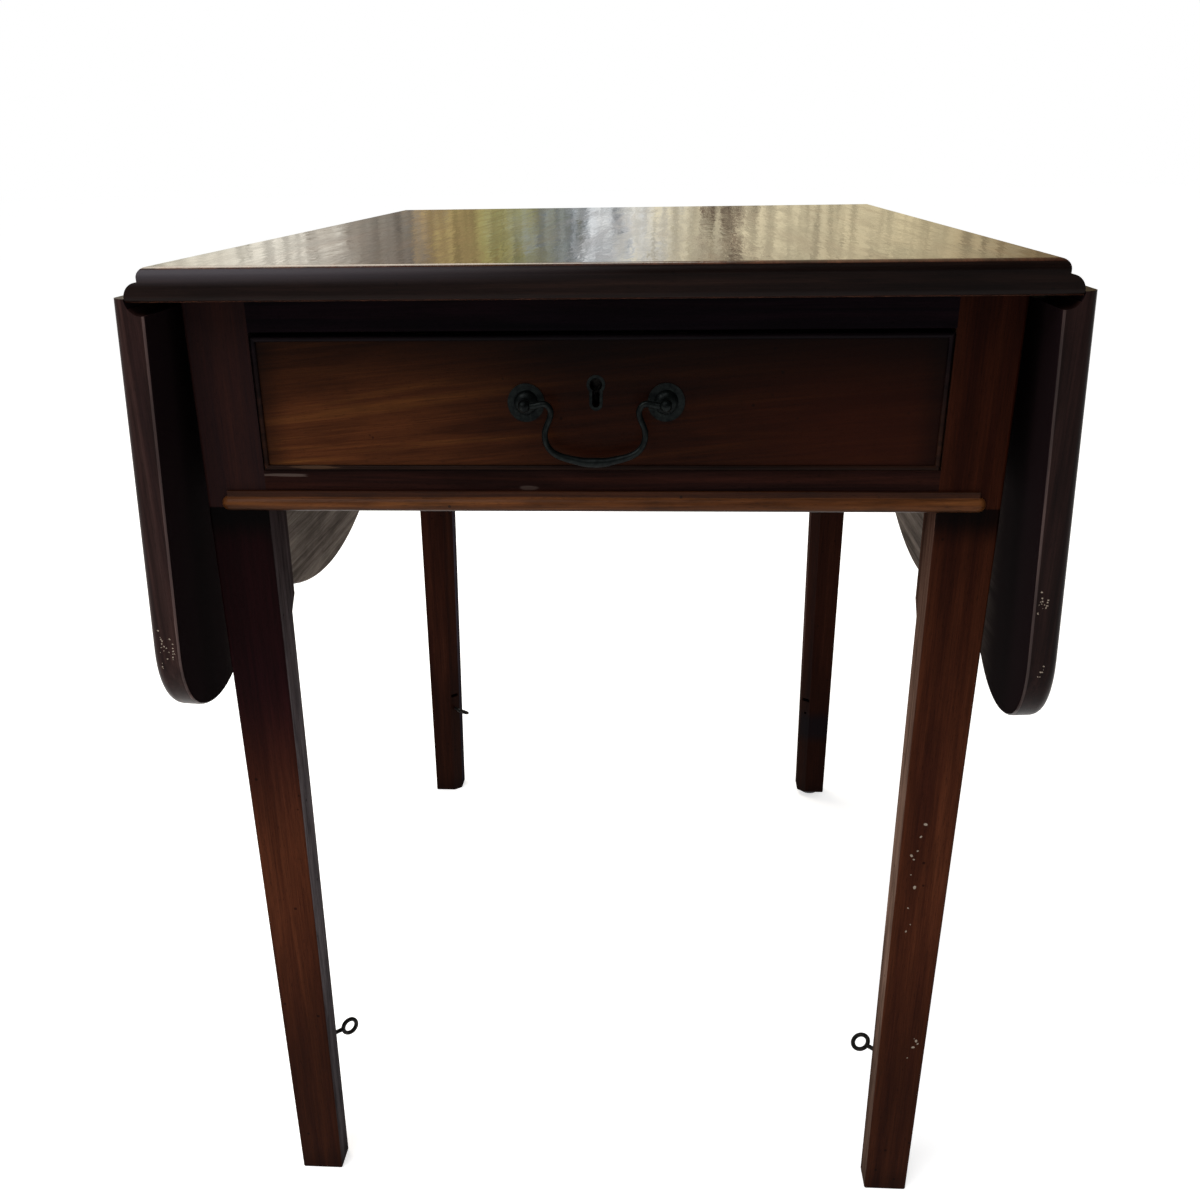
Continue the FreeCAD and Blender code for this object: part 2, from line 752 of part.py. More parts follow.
def tails(root_y, end_y):
    """Dovetails on one end of the right drawer side."""
    x = side_half - drawer_side_thickness
    solids = []
    for share in tail_place_shares:
        z = front_low + (side_high - front_low) * share
        half = tail_root / 2
        ring = [V(x, root_y, z - half), V(x, end_y, z - half - tail_flare),
                V(x, end_y, z + half + tail_flare), V(x, root_y, z + half)]
        solids.append(prism(ring, ACROSS * drawer_side_thickness))
    return solids


def all_tails():
    front = tails(front_back_y, front_back_y - tail_length)
    back = tails(drawer_end_y - drawer_back_thickness, drawer_end_y)
    return front, back


def make_panel():
    """Drawer bottom, held in grooves and run under the back."""
    half = side_half - drawer_side_thickness + drawer_groove
    y = (front_back_y - drawer_groove, drawer_end_y)
    return block((-half, half), y, (panel_low, panel_low + drawer_panel))


def make_drawer_front():
    front = joined([front_block((bead_y[1], front_back_y)), front_core((face_y, bead_y[1] + overrun))])
    sockets, _ = all_tails()
    front = front.cut(sockets + [across(tail) for tail in sockets] + [make_panel()])
    key_way = keyhole(0, face_y - overrun, front_back_y + overrun)
    seat = keyhole(escutcheon_wall, face_y - overrun, face_y + escutcheon_depth)
    front = front.cut([key_way, seat, lock_body(), bolt_way()])
    return front.cut(make_posts(drawer_front_thickness))


def make_drawer_side():
    """Right drawer side, dovetailed at both ends."""
    y = (front_back_y, drawer_end_y - drawer_back_thickness)
    board = block((side_half - drawer_side_thickness, side_half), y, (front_low, side_high))
    upper = edges_where(board, lambda p: near(p.z, side_high))
    upper = [edge for edge in upper if edge.BoundBox.YLength > drawer_panel]
    board = board.makeFillet(drawer_side_round, upper)
    front, back = all_tails()
    return joined([board] + front + back).cut(make_panel())


def make_drawer_back():
    y = (drawer_end_y - drawer_back_thickness, drawer_end_y)
    board = block((-side_half, side_half), y, (panel_low + drawer_panel, side_high - drawer_back_drop))
    _, back = all_tails()
    return board.cut(back + [across(tail) for tail in back])


# Lock and keyhole

def keyhole(grow, front_y, back_y):
    """Keyhole-shaped plug: a round head over a slot with a round foot, grown by a wall."""
    head = rod(V(0, front_y, keyhole_z), ALONG, keyhole_head_radius + grow, back_y - front_y)
    slot_half = keyhole_slot / 2 + grow
    foot_z = keyhole_z - keyhole_drop + keyhole_slot / 2
    slot = block((-slot_half, slot_half), (front_y, back_y), (foot_z, keyhole_z))
    foot = rod(V(0, front_y, foot_z), ALONG, slot_half, back_y - front_y)
    return joined([head, slot, foot])


def make_escutcheon():
    front_y, back_y = face_y - escutcheon_proud, face_y + escutcheon_depth
    plug = keyhole(escutcheon_wall, front_y, back_y)
    return plug.cut(keyhole(0, front_y - overrun, back_y + overrun))


lock_high = front_high - bead_width
lock_y = (front_back_y - lock_thick, front_back_y)
bolt_mid_y = (lock_y[0] + lock_y[1]) / 2
bolt_rest_z = lock_high


def lock_body():
    return block((-lock_width / 2, lock_width / 2), lock_y, (lock_high - lock_tall, lock_high))


def bolt_slot(gap, low, high):
    half, thick = bolt_width / 2 + gap, bolt_thick / 2 + gap
    return block((-half, half), (bolt_mid_y - thick, bolt_mid_y + thick), (low, high))


def bolt_way():
    """Room for the bolt through the top of the drawer front and its bead."""
    return bolt_slot(bolt_gap, bolt_rest_z - overrun, front_high + overrun)


def make_lock():
    """Lock case let into the back of the drawer front, open above for its bolt and in front for the key."""
    well = bolt_slot(bolt_gap, bolt_rest_z - bolt_tall - bolt_gap, bolt_rest_z + overrun)
    key_way = keyhole(0, lock_y[0] - overrun, lock_y[1] - lock_wall)
    return lock_body().cut([well, key_way])


def make_bolt():
    bolt = bolt_slot(0, bolt_rest_z - bolt_tall, bolt_rest_z)
    return bolt.cut(keyhole(bolt_gap, lock_y[0] - overrun, lock_y[1] + overrun))


def bolt_mortise():
    """Pocket in the underside of the front top rail that takes the thrown bolt."""
    return bolt_slot(bolt_gap, opening_high - overrun, bolt_rest_z + bolt_throw + bolt_gap)


# Handles

def make_posts(wood):
    """Ball-ended posts of the front handle, through wood of a given thickness to square nuts."""
    posts = []
    ball_y = face_y - post_reach
    end_y = face_y + wood + post_nut_thick
    neck_y = ball_y + math.sqrt(post_ball_radius ** 2 - post_radius ** 2)
    for side in (-1, 1):
        x = side * handle_spacing / 2
        pole, neck = V(x, ball_y - post_ball_radius, handle_z), V(x + post_radius, neck_y, handle_z)
        outline = [arc(pole, V(x + post_ball_radius, ball_y, handle_z), neck)]
        corners = [neck, V(x + post_radius, end_y, handle_z), V(x, end_y, handle_z), pole]
        outline += [line(a, b) for a, b in zip(corners, corners[1:])]
        post = Part.Face(Part.Wire(outline)).revolve(pole, ALONG, 360)
        nut_x = (x - post_nut_radius, x + post_nut_radius)
        nut_z = (handle_z - post_nut_radius, handle_z + post_nut_radius)
        nut = block(nut_x, (face_y + wood, end_y), nut_z)
        reach = post_ball_radius + overrun
        hole = rod(V(x - reach, ball_y, handle_z), ACROSS, bail_pin_radius + bail_pin_play, 2 * reach)
        posts.append(joined([post, nut]).cut(hole))
    return posts


def make_rosettes():
    """Domed back roses with a hollowed shoulder, turned about each post."""
    roses = []
    for side in (-1, 1):
        x = side * handle_spacing / 2
        rim = V(x + rosette_radius, face_y, handle_z)
        hollow = V(x + rosette_dome_radius, face_y - rosette_rim, handle_z)
        crown = V(x + post_radius, face_y - rosette_dome, handle_z)
        outline = [line(V(x + post_radius, face_y, handle_z), rim), line(rim, rim - ALONG * rosette_rim)]
        outline.append(line(rim - ALONG * rosette_rim, hollow))
        out_share, rise_share = rosette_swell_shares
        swell = V(x + out_share * rosette_dome_radius, face_y - rise_share * rosette_dome, handle_z)
        outline += [arc(hollow, swell, crown), line(crown, V(x + post_radius, face_y, handle_z))]
        roses.append(Part.Face(Part.Wire(outline)).revolve(V(x, face_y, handle_z), ALONG, 360))
    return roses


def bail_curve():
    """Middle line of the right half of the bail, from its pin round the swan's neck to the bottom."""
    y = face_y - post_reach
    points = [V(handle_spacing / 2 - post_ball_radius, y, handle_z)]
    for out, down in bail_bend_shares:
        points.append(V(out * handle_spacing / 2, y, handle_z - down * bail_drop))
    points.append(V(0, y, handle_z - bail_drop))
    curve = Part.BSplineCurve()
    curve.interpolate(Points=points, InitialTangent=-ACROSS, FinalTangent=-ACROSS)
    return curve


def make_bail():
    """Swan-neck bail: round bar with turned-out pins, swelling towards its middle."""
    curve = bail_curve()
    last = curve.LastParameter
    radii = ((0, bail_radius), (bail_even_share, bail_radius), (1, bail_belly_radius))
    rings = []
    for share, radius in radii:
        circle = Part.makeCircle(radius, curve.value(share * last), curve.tangent(share * last)[0])
        rings.append(Part.Wire(circle))
    half = Part.Wire(curve.toShape()).makePipeShell(rings, True, False)
    start = curve.value(0)
    pin = rod(start - ACROSS * overrun, ACROSS, bail_pin_radius, bail_pin_length + overrun)
    return joined([half, across(half), pin, across(pin)])


# Inner frame pieces

def make_runner():
    """Right drawer runner, level with the bottom of the opening."""
    y = (-inner_y, half_length - rear_rail_thickness)
    return block((inner_x - runner_width, inner_x), y, (opening_low - runner_tall, opening_low))


def make_kicker():
    """Right kicker above the drawer side, screwed up to the top."""
    y = (-inner_y, half_length - rear_rail_thickness)
    bar = block((inner_x - runner_width, inner_x), y, (opening_high, under_z))
    return bar.cut([screw for screw in make_top_screws() if screw.CenterOfMass.x > 0])


def make_top_screws():
    screws = []
    for side in (-1, 1):
        x = side * (inner_x - runner_width / 2)
        for share in top_screw_place_shares:
            y = frame_length * share
            tip_z = under_z + top_screw_bite
            shank_x = x + top_screw_radius
            ring = [V(x, y, opening_high), V(x + top_screw_head, y, opening_high),
                    V(shank_x, y, opening_high + top_screw_head), V(shank_x, y, tip_z - top_screw_radius),
                    V(x, y, tip_z)]
            screws.append(turned(ring, V(x, y, 0), UP))
    return screws


def make_stops():
    y = (front_back_y + drawer_floor_gap, front_back_y + drawer_floor_gap + stop_depth)
    spans = [(side * stop_place - stop_width / 2, side * stop_place + stop_width / 2) for side in (-1, 1)]
    return [block(span, y, (opening_low, opening_low + stop_tall)) for span in spans]


def both(name, shape):
    """A piece of the right side and its fellow on the left."""
    return {name + "_right": shape, name + "_left": across(shape)}


def group(solids):
    return Part.Compound(solids)


def build():
    parts = {"top_board": make_top().cut(make_top_screws())}
    leaf = hung(flat_leaf())
    parts.update({"right_leaf": leaf, "left_leaf": across(leaf)})
    top_plates = [hinge_top_plate(place) for place in hinge_places()]
    leaf_plates = [hung(hinge_leaf_plate(place)) for place in hinge_places()]
    parts.update(both("hinge_leaf_plates", group(leaf_plates)))
    pins = [hinge_pin(place) for place in hinge_places()]
    parts.update(both("hinge_top_plates", group(top_plates)))
    parts["hinge_pins"] = group(pins + [across(pin) for pin in pins])
    for end in ENDS:
        for side in SIDES:
            parts[f"{end}_{side}_leg"] = make_leg(side, end)
    parts["front_top_rail"] = make_front_rail((opening_high, under_z)).cut(bolt_mortise())
    parts["front_bottom_rail"] = make_front_rail((frieze_z, opening_low))
    parts["rear_rail"] = make_rear_rail()
    parts.update(both("inner_side_rail", make_inner_rail()))
    parts.update(both("fly_rail", make_fly_rail()))
    parts.update(both("fly_stop_rail", make_fly_stop()))
    parts.update(both("fly_bracket", make_fly()))
    parts["fly_pins"] = group([fly_pin_hole(0), across(fly_pin_hole(0))])
    parts["front_moulding"] = make_moulding()
    parts["rear_moulding"] = endwise(make_moulding())
    parts.update(both("drawer_runner", make_runner()))
    parts.update(both("drawer_kicker", make_kicker()))
    parts["drawer_stops"] = group(make_stops())
    parts["top_screws"] = group(make_top_screws())
    for side, end in eye_turns:
        parts[f"screw_eye_{end}_{side}"] = make_eye(side, end)
    parts["rear_right_glide"] = make_glide()
    parts["drawer_front"] = make_drawer_front()
    for name, strip in drawer_beads().items():
        parts["cock_bead_" + name] = strip
    parts.update(both("drawer_side", make_drawer_side()))
    parts["drawer_back"] = make_drawer_back()
    parts["drawer_bottom"] = make_panel()
    parts["escutcheon"] = make_escutcheon()
    parts["lock_case"] = make_lock()
    parts["lock_bolt"] = make_bolt()
    parts["handle_rosettes"] = group(make_rosettes())
    parts["handle_posts"] = group(make_posts(drawer_front_thickness))
    parts["handle_bail"] = make_bail()
    parts["dummy_drawer_beads"] = group(dummy_beads())
    parts["rear_handle_rosettes"] = group([endwise(rose) for rose in make_rosettes()])
    parts["rear_handle_posts"] = group([endwise(post) for post in make_posts(rear_rail_thickness)])
    parts["rear_handle_bail"] = endwise(make_bail())
    return parts


os.makedirs("parts", exist_ok=True)
for part_name, part_shape in build().items():
    part_shape.exportStep(os.path.join("parts", part_name + ".step"))
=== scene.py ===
"""Looks of the drop-leaf side table: old polished mahogany, bare undersides, dark brass and iron.

Metres, in the table's own frame: X across, Y from the drawer end to the far end, Z up from the floor.
"""

import math

import bpy
from mathutils import Matrix, Vector


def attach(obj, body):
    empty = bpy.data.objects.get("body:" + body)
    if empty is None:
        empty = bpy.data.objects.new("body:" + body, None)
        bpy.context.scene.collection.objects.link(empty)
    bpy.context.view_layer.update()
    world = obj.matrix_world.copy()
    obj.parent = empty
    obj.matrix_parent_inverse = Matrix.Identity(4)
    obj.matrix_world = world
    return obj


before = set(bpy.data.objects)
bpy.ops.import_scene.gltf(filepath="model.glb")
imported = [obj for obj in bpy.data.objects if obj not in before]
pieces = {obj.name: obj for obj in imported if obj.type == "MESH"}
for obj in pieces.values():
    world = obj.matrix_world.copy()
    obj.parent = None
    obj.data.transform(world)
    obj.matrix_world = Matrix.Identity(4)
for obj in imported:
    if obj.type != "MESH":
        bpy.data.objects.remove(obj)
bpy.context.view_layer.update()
scene = bpy.context.scene
MM = 0.001
X, Y, Z = 0, 1, 2

# Places on the table
PIN_X, PIN_Z, UNDER_Z = 0.2672, 0.6926, 0.6904      # hinge pins, and the top's underside
HANG = math.radians(87.1)                           # a leaf's turn from level to hanging
HINGE_PLACES = (-0.30456, 0.0, 0.30456)
MOULDING_Z = 0.5625                                 # where the legs go on below the moulding
LEG_FRONT_Y, LEAF_END_Y = -0.389, -0.423            # front faces that carry paint drops
STAIN_Z = 0.1                                       # rust below the lost eye's hole


# Colours and nodes

def tone(code):
    """Linear colour of an sRGB hex code."""
    parts = [int(code[i:i + 2], 16) / 255 for i in (0, 2, 4)]
    return tuple(p / 12.92 if p <= 0.04045 else ((p + 0.055) / 1.055) ** 2.4 for p in parts) + (1.0,)


def grey(value):
    return (value, value, value, 1.0)


def add(tree, kind, inputs=None, stops=(), **settings):
    """Adds a node with its settings and colour stops; each input is a value or an output to link."""
    node = tree.nodes.new(kind)
    for name, value in settings.items():
        setattr(node, name, value)
    for name, value in (inputs or {}).items():
        if isinstance(value, bpy.types.NodeSocket):
            tree.links.new(value, node.inputs[name])
        else:
            node.inputs[name].default_value = value
    while stops and len(node.color_ramp.elements) < len(stops):
        node.color_ramp.elements.new(0.5)
    for number, (place, colour) in enumerate(stops):
        node.color_ramp.elements[number].position = place
        node.color_ramp.elements[number].color = colour
    return node


EASED = "SMOOTHSTEP"
FACTOR, FIRST, SECOND, MIXED = 0, 6, 7, 2           # sockets of a colour mix


# What all finishes share

class Finish:
    """A material in the making, on its piece's own coordinates, so that patterns keep their real size."""

    def __init__(self, name, along=Z):
        self.material = bpy.data.materials.new(name)
        self.material.use_nodes = True
        self.tree = tree = self.material.node_tree
        tree.nodes.clear()
        self.along = along
        self.place = add(tree, "ShaderNodeTexCoord").outputs["Object"]
        self.axes = add(tree, "ShaderNodeSeparateXYZ", {"Vector": self.place}).outputs
        chance = add(tree, "ShaderNodeObjectInfo").outputs["Random"]
        far_off = (3.1, 5.3, 4.7)
        shift = add(tree, "ShaderNodeVectorMath", {0: far_off, "Scale": chance}, operation="SCALE")
        moved = add(tree, "ShaderNodeVectorMath", {0: self.place, 1: shift.outputs["Vector"]},
                    operation="ADD")
        self.moved = moved.outputs["Vector"]

    def streaks(self, across_mm, along_mm, detail=2.0, rough=0.5, bend=0.0, slant=0.0):
        """Soft random streaks: fine across the grain, long along it, and shifted for each piece."""
        size = [across_mm * MM] * 3
        size[self.along] = along_mm * MM
        turn = (0.0, math.radians(slant), 0.0)
        spread = add(self.tree, "ShaderNodeMapping", {
            "Vector": self.moved, "Rotation": turn, "Scale": size}, vector_type="TEXTURE")
        pattern = add(self.tree, "ShaderNodeTexNoise", {
            "Vector": spread.outputs["Vector"], "Scale": 1.0, "Detail": detail, "Roughness": rough,
            "Distortion": bend})
        return pattern.outputs["Fac"]

    def between(self, axis, start, end, middle=None):
        """0 before one place along an axis and 1 past another; with a middle, on both sides of it."""
        where = self.axes[axis]
        if middle is not None:
            aside = add(self.tree, "ShaderNodeMath", {0: where, 1: middle}, operation="SUBTRACT")
            either = add(self.tree, "ShaderNodeMath", {0: aside.outputs["Value"]}, operation="ABSOLUTE")
            where = either.outputs["Value"]
        share = add(self.tree, "ShaderNodeMapRange", {"Value": where, "From Min": start, "From Max": end},
                    interpolation_type=EASED)
        return share.outputs["Result"]

    def lay(self, how, over, amount, places):
        """Lays a tone or a pattern over the colour, as far as all the places allow."""
        for place in places:
            limited = add(self.tree, "ShaderNodeMath", {0: amount, 1: place}, operation="MULTIPLY")
            amount = limited.outputs["Value"]
        layer = add(self.tree, "ShaderNodeMix", {FACTOR: amount, FIRST: self.colour, SECOND: over},
                    data_type="RGBA", blend_type=how)
        self.colour = layer.outputs[MIXED]

    def shade(self, over, amount, *places):
        """Darkens the colour by a tone, as grime and shadow do."""
        self.lay("MULTIPLY", over, amount, places)

    def tint(self, over, amount, *places):
        """Covers the colour with a tone, as stain, paint, painted sheen and painted shade do."""
        self.lay("MIX", over, amount, places)

    def close(self, inputs):
        """Ends the material with its colour and what else the shader needs."""
        shader = add(self.tree, "ShaderNodeBsdfPrincipled", {"Base Color": self.colour, **inputs})
        add(self.tree, "ShaderNodeOutputMaterial", {"Surface": shader.outputs["BSDF"]})
        return self.material


# Wood finishes

class Timber(Finish):
    """Planed timber built up in layers: broad figure, fine fibres, short pores and the grime of age.

    It gives the eye the colour bands of the board, and pores that catch the light as small grooves. Real
    pores are half as wide as these, and would not show.
    """

    def __init__(self, name, along, tones, figure_mm, bend=0.7, slant=0.0):
        super().__init__(name, along)
        dark, middle, light = [tone(code) for code in tones]
        figure = self.streaks(figure_mm, 320.0, 4.0, 0.55, bend, slant)
        stops = [(0.3, dark), (0.5, middle), (0.7, light)]
        self.colour = add(self.tree, "ShaderNodeValToRGB", {"Fac": figure}, stops).outputs["Color"]
        self.lines = self.streaks(1.8, 40.0, 3.0, 0.6, 0.2, slant)
        self.fibre = self.streaks(0.7, 45.0, 3.0, 0.6, 0.0, slant)
        pores = self.streaks(0.32, 5.0, 2.0, 0.5, 0.0, slant)
        for pattern, low, high, amount in ((self.lines, (0.35, 0.55), (0.65, 1.2), 0.45),
                                           (self.fibre, (0.3, 0.5), (0.7, 1.15), 0.5),
                                           (pores, (0.31, 0.25), (0.39, 1.0), 0.6)):
            stops = [(place, grey(value)) for place, value in (low, high)]
            drawn = add(self.tree, "ShaderNodeValToRGB", {"Fac": pattern}, stops).outputs["Color"]
            self.shade(drawn, amount)
        self.pores = drawn

    def patina(self, across_mm, along_mm, amount):
        """Cloudy darkening left by wax, smoke and handling."""
        cloud = self.streaks(across_mm, along_mm, 3.0, 0.6, 0.4)
        grime = add(self.tree, "ShaderNodeMapRange", {"Value": cloud, "From Min": 0.58, "From Max": 0.3},
                    interpolation_type=EASED)
        self.shade(grey(0.25), amount, grime.outputs["Result"])

    def knocks(self, size_mm, amount):
        """Small dark knocks and worm holes: one at most in a cell nine times its size."""
        spacing = [9 * size_mm * MM] * 3
        spread = add(self.tree, "ShaderNodeMapping", {"Vector": self.moved, "Scale": spacing},
                     vector_type="TEXTURE")
        spots = add(self.tree, "ShaderNodeTexVoronoi", {
            "Vector": spread.outputs["Vector"], "Scale": 1.0, "Randomness": 1.0}).outputs["Distance"]
        spot = add(self.tree, "ShaderNodeMapRange", {"Value": spots, "From Min": 0.11, "From Max": 0.07},
                   interpolation_type=EASED)
        patches = self.streaks(40.0, 40.0)
        patch = add(self.tree, "ShaderNodeMapRange", {
            "Value": patches, "From Min": 0.5, "From Max": 0.56}, interpolation_type=EASED)
        self.shade(grey(0.12), amount, spot.outputs["Result"], patch.outputs["Result"])

    def scuff(self, x, z, wide, tall, over, amount):
        """Rubbed pale patch about a place on the table's end, broken up by the grain."""
        any_depth = 1000.0
        aside = add(self.tree, "ShaderNodeMapping", {
            "Vector": self.place, "Location": (x, 0.0, z), "Scale": (wide, any_depth, tall)},
            vector_type="TEXTURE").outputs["Vector"]
        reach = add(self.tree, "ShaderNodeVectorMath", {0: aside, 1: aside}, operation="DOT_PRODUCT")
        torn = add(self.tree, "ShaderNodeMapRange", {
            "Value": self.lines, "From Min": 0.3, "From Max": 0.7, "To Min": -0.7, "To Max": 0.7},
            interpolation_type=EASED)
        ragged = add(self.tree, "ShaderNodeMath", {0: reach.outputs["Value"], 1: torn.outputs["Result"]},
                     operation="ADD")
        shown = add(self.tree, "ShaderNodeMapRange", {
            "Value": ragged.outputs["Value"], "From Min": 1.0, "From Max": 0.3}, interpolation_type=EASED)
        self.tint(over, amount, shown.outputs["Result"])

    def finish(self, rough, specular, relief=1.0, waves=()):
        """Closes the material with its gloss; relief deepens the grain, waves ripple what it mirrors."""
        hollows = [(self.pores, 0.15, 0.35 * relief), (self.fibre, 0.12, 0.25 * relief)]
        for across_mm, along_mm, depth_mm in waves:
            hollows.append((self.streaks(across_mm, along_mm, 2.0, 0.5, 0.3), depth_mm, 1.0))
        surface = {}
        for height, depth_mm, strength in hollows:
            surface.update({"Height": height, "Distance": depth_mm * MM, "Strength": strength})
            surface["Normal"] = add(self.tree, "ShaderNodeBump", surface).outputs["Normal"]
        return self.close({"Roughness": rough, "Specular IOR Level": specular,
                           "Normal": surface["Normal"]})


POLISHED_TONES = ("2a130d", "412117", "583424")


def top_finish():
    """Polished top: glassy, rippled and worn to dull streaks along the board."""
    wood = Timber("Top mahogany, French polished", Y, POLISHED_TONES, 18.0)
    wood.patina(60.0, 260.0, 0.5)
    wood.knocks(2.0, 0.6)
    worn = wood.streaks(14.0, 220.0, 4.0, 0.65, 0.6)
    gloss = add(wood.tree, "ShaderNodeMapRange", {
        "Value": worn, "From Min": 0.38, "From Max": 0.66, "To Min": 0.04, "To Max": 0.13},
        interpolation_type=EASED).outputs["Result"]
    return wood.finish(gloss, 0.5, relief=0.06, waves=((38.0, 190.0, 0.16), (6.0, 35.0, 0.16)))


def edge_wood(name, along, tones):
    """Ends and moulded edges: end grain soaked dark with polish, smeared along the edge, with painted
    shade darkening it towards the right.
    """
    wood = Timber(name, along, tones, 5.0, 0.2)
    wood.patina(9.0, 60.0, 0.4)
    # Painted shade: darker towards the right, away from the light on the left.
    wood.shade(tone("7a6a66"), 0.6, wood.between(X, -0.22, 0.2))
    wood.knocks(1.2, 0.5)
    return wood


def edge_finish(name, along, tones, specular):
    return edge_wood(name, along, tones).finish(0.34, specular, relief=0.5)


def top_end_finish():
    """Edge of the top: nearly black, with a painted cool sheen on its upper half towards the left."""
    wood = edge_wood("Top end grain, dark polish", X, ("130a08", "1c110e", "281a15"))
    # Painted sheen: a cool pale band on the edge's upper half, towards the left.
    wood.tint(tone("4b474c"), 0.75, wood.between(X, 0.05, -0.24), wood.between(Z, 0.6985, 0.7075))
    return wood.finish(0.34, 0.06, relief=0.5)


def leaf_finish():
    """Outer face of a leaf: dark red polish."""
    wood = Timber("Leaf mahogany, polished", Y, POLISHED_TONES, 14.0)
    wood.patina(60.0, 260.0, 0.5)
    wood.knocks(1.6, 0.5)
    return wood.finish(0.24, 0.06, relief=0.3)


def underside_finish():
    """Underside of a leaf: dry and grey-brown, with painted shade blackening it towards its ends."""
    wood = Timber("Leaf underside, never polished", Y, ("5a524c", "82776f", "a0958b"), 7.0)
    wood.patina(40.0, 120.0, 0.5)
    # Painted shade: black towards the leaf's ends, where it hangs close to the legs.
    wood.tint(tone("150c0e"), 1.0, wood.between(Y, 0.20, 0.34, middle=0.0))
    return wood.finish(0.95, 0.02)


def leg_wood(name, tones):
    """Leg: straight grain; painted shade darkens it towards the top, under the top's overhang, and on the
    far legs; darker towards the foot, with grime at the very foot.
    """
    wood = Timber(name, Z, tones, 11.0, 0.4)
    wood.patina(22.0, 160.0, 0.25)
    wood.knocks(1.4, 0.75)
    # Painted shade: darker towards the top, under the top's overhang.
    wood.shade(tone("6a443c"), 0.75, wood.between(Z, 0.30, 0.60))
    wood.shade(grey(0.58), 1.0, wood.between(Z, 0.26, 0.10))
    wood.shade(grey(0.3), 0.6, wood.between(Z, 0.03, 0.0))
    # Painted shade: the far legs darker, as in the top's shadow.
    wood.shade(tone("8a85a0"), 0.75, wood.between(Y, -0.2, 0.3))
    return wood


def leg_finish():
    """Outer faces: red-brown wax, painted shadow just below the moulding, painted shade on the front left
    leg, one iron stain.
    """
    wood = leg_wood("Leg mahogany, waxed", ("38190f", "472314", "552d1b"))
    left, right = wood.between(X, 0.1, -0.1), wood.between(X, 0.0, 0.1)
    front, rear = wood.between(Y, 0.1, -0.1), wood.between(Y, 0.0, 0.1)
    ease = 0.0005
    below = wood.between(Z, MOULDING_Z + ease, MOULDING_Z - ease)
    frieze = wood.between(Z, MOULDING_Z - ease, MOULDING_Z + ease)
    # Painted shade: the front left leg darker below the moulding, down to about 0.3 m.
    wood.shade(tone("7d61bf"), 0.95, left, front, below, wood.between(Z, 0.29, 0.45))
    # Painted shade: a cool darkening on the front left leg's head, above the moulding.
    wood.tint(tone("1d1e23"), 0.3, left, front, frieze)
    # Painted shadow: a black band just under the moulding.
    wood.shade(grey(0.02), 0.9, below, wood.between(Z, 0.535, 0.556))
    wood.tint(tone("0c0c11"), 0.7, right, rear, wood.between(Z, 0.026, 0.008, middle=STAIN_Z))
    return wood.finish(0.46, 0.025)


def leg_inside_finish():
    """Inner faces: dry, with painted shade making the left legs' faces cooler and painted light making
    the right ones warmer.
    """
    wood = leg_wood("Leg inner face, dry", ("5c4a4b", "796365", "927a7c"))
    wood.patina(9.0, 45.0, 0.5)
    # Painted shade: the left legs' inner faces greyer and cooler.
    wood.shade(tone("defafa"), 1.0, wood.between(X, 0.1, -0.1))
    # Painted light: the right legs' inner faces warmer.
    wood.shade(tone("fff4d1"), 1.0, wood.between(X, -0.1, 0.1))
    return wood.finish(0.6, 0.0)


def moulding_finish():
    """Moulding: golden where dusters have rubbed its bead, dark in the fillet above, with painted shade
    underneath.
    """
    wood = Timber("Moulding mahogany, rubbed", X, ("3a1e0d", "5a3318", "744724"), 8.0)
    wood.patina(10.0, 50.0, 0.5)
    wood.shade(tone("5e3a30"), 0.8, wood.between(Z, 0.5692, 0.5704))
    # Painted shade on the underside of the bead.
    wood.shade(tone("3a2018"), 0.8, wood.between(Z, 0.5638, 0.5606))
    wood.knocks(1.2, 0.8)
    return wood.finish(0.36, 0.08)


def rail_finish(name, tones, grime, specular):
    """End rail: dark straight grain along the table's end, blackest above with painted shadow from the
    top's overhang, scuffed below the drawer.
    """
    wood = Timber(name, X, tones, 8.0)
    wood.patina(25.0, 120.0, grime)
    # Painted shadow: the top's overhang darkens the upper rail and its bead.
    wood.shade(tone("94aaff"), 1.0, wood.between(Z, 0.60, 0.67))
    wood.knocks(1.2, 0.5)
    wood.scuff(-0.2015, 0.5832, 0.015, 0.0013, tone("6e5f58"), 0.35)
    wood.scuff(-0.0428, 0.5752, 0.006, 0.0016, tone("6e5f58"), 0.18)
    wood.scuff(-0.178, 0.5884, 0.018, 0.0016, tone("6b4f3a"), 0.25)
    return wood.finish(0.4, specular)


def drawer_finish():
    """Drawer front: golden-brown figure, darker and redder towards the right, with painted shade towards
    the top, and dark where hands and wax have built up by the beads at its ends.
    """
    wood = Timber("Drawer mahogany, figured", X, ("3a1c0c", "4c2813", "60391a"), 15.0, 1.4, -5.0)
    wood.patina(34.0, 70.0, 0.25)
    wood.shade(tone("532a22"), 0.85, wood.between(X, -0.16, 0.0))
    wood.tint(tone("2c0e06"), 0.4, wood.between(X, 0.05, 0.17))
    # Painted shade: darker towards the top, under the top's overhang.
    wood.shade(tone("301a14"), 0.8, wood.between(Z, 0.612, 0.668))
    wood.shade(tone("301a14"), 0.6, wood.between(X, 0.192, 0.212, middle=0.0))
    wood.knocks(1.2, 0.6)
    return wood.finish(0.36, 0.035)


def lining_finish(name, along):
    """Drawer lining: dry oak, browned by age."""
    wood = Timber(name, along, ("4a3520", "5e4429", "705436"), 6.0)
    wood.patina(40.0, 120.0, 0.4)
    return wood.finish(0.75, 0.15)


